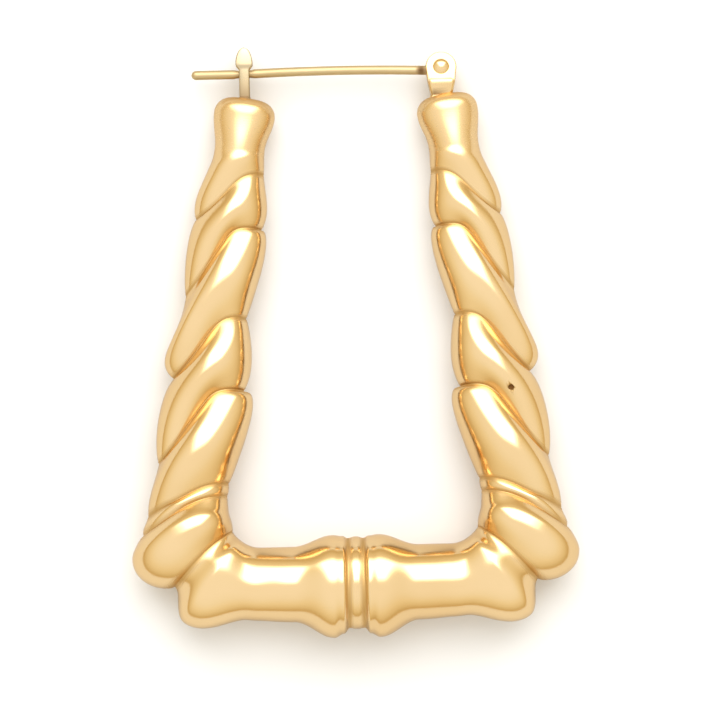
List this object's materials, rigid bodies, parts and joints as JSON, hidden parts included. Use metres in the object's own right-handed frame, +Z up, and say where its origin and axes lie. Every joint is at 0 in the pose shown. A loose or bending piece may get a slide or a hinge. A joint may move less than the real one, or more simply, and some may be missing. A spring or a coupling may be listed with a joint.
{
  "type": "hoop earring",
  "caption": "Bamboo-style trapezoid hoop earring in polished yellow gold, lying flat, with slanted lobes down both legs and a hinged snap post across the top.",
  "frame": {"origin": "middle of the hoop's outline, on the surface that it lies on", "axes": "+X from the catch to the hinge, +Y from the bar to the closure, +Z up from the surface"},
  "size_m": [0.0392, 0.052, 0.0084],
  "materials": {
    "polished_gold": "mirror-polished pale yellow gold",
    "gold_wire": "polished pale yellow gold wire"
  },
  "bodies": {
    "hoop": {"bamboo_hoop": "polished_gold", "hinge_rivet": "polished_gold"},
    "post": {"ear_post": "gold_wire"}
  },
  "joints": [
    {"name": "post_hinge", "type": "hinge", "parent": "hoop", "child": "post", "pos_m": [0.00845, 0.02403, 0.00225], "axis": [0, -0.0431, -0.9991], "range_deg": [0, 105]}
  ]
}
